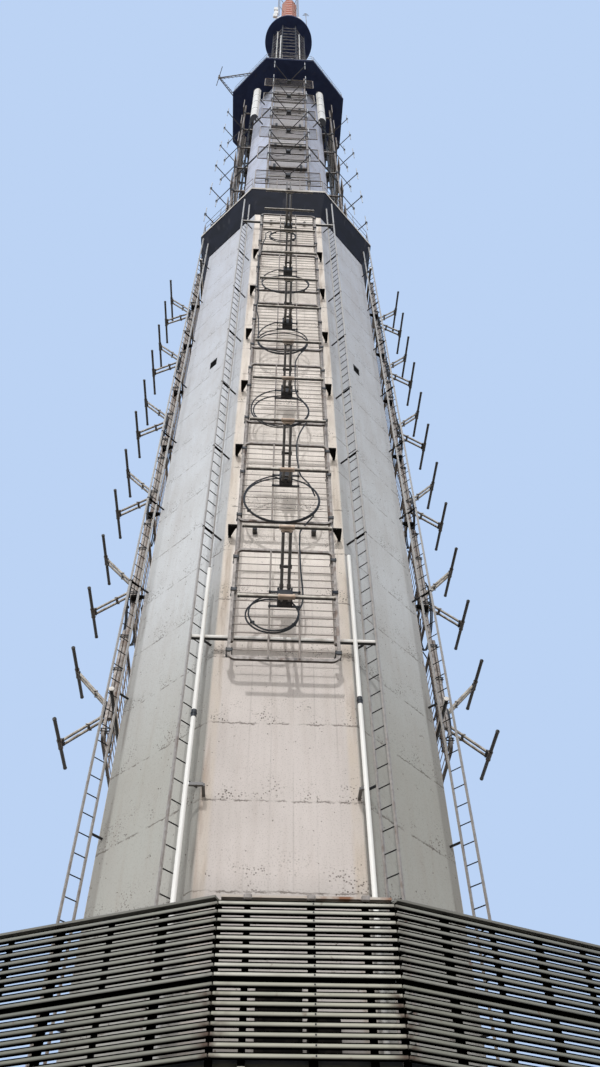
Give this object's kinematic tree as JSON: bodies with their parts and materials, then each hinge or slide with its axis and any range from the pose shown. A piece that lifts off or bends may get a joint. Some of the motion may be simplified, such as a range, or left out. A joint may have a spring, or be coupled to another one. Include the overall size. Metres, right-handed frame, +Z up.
{
  "type": "radio mast, scale model at 1:10",
  "caption": "Eight-sided concrete radio mast on a louvred podium, with dipole bays up its faces, a lattice stage, a round collar and a banded column on top.",
  "frame": {"origin": "centre of the mast's footprint on the ground, on the underside of the floor slab", "axes": "+Z up the mast's axis; the pictured face looks along -Y; +X to the right of that face"},
  "size_m": [1.401, 1.401, 9.085],
  "materials": {
    "pale_concrete": "bare concrete, weathered",
    "shaft_concrete": "board-marked concrete, pitted, with pour joints and rust runs",
    "render": "painted render, weathered",
    "slats": "grey-green paint, dull",
    "dark_paint": "dark paint, dull",
    "galvanised": "galvanised, dull",
    "dark_metal": "dark paint, dull",
    "black_cable": "matte",
    "white_plastic": "off-white, satin",
    "orange_paint": "orange-red paint, satin"
  },
  "bodies": {
    "root": {"base_slab": "pale_concrete", "podium_wall_front": "render", "podium_wall_right": "render", "podium_wall_back": "render", "podium_wall_left": "render", "podium_roof": "pale_concrete", "screen_front": "slats", "screen_right": "slats", "screen_back": "slats", "screen_left": "slats", "lower_shaft": "shaft_concrete", "flared_collar": "dark_paint", "lower_railing": "galvanised", "reflectors_front": "galvanised", "reflectors_right": "galvanised", "reflectors_back": "galvanised", "reflectors_left": "galvanised", "dipoles_front": "dark_metal", "dipoles_right": "dark_metal", "dipoles_back": "dark_metal", "dipoles_left": "dark_metal", "coax_front": "black_cable", "coax_right": "black_cable", "coax_back": "black_cable", "coax_left": "black_cable", "feeder_pipes": "galvanised", "ladders_front_right": "galvanised", "ladders_back_right": "galvanised", "ladders_back_left": "galvanised", "ladders_front_left": "galvanised", "cross_pipes": "galvanised", "whip_pipes": "white_plastic", "upper_shaft": "shaft_concrete", "upper_frames_front": "galvanised", "upper_frames_right": "galvanised", "upper_frames_back": "galvanised", "upper_frames_left": "galvanised", "upper_dipoles_front": "white_plastic", "upper_dipoles_right": "white_plastic", "upper_dipoles_back": "white_plastic", "upper_dipoles_left": "white_plastic", "face_braces": "dark_metal", "radome_stacks": "white_plastic", "upper_platform": "dark_paint", "upper_railing": "galvanised", "side_outrigger": "galvanised", "lattice_stage": "dark_metal", "round_collar": "dark_paint", "collar_antennas": "white_plastic", "banded_column": "orange_paint", "top_pole": "white_plastic"}
  },
  "joints": []
}
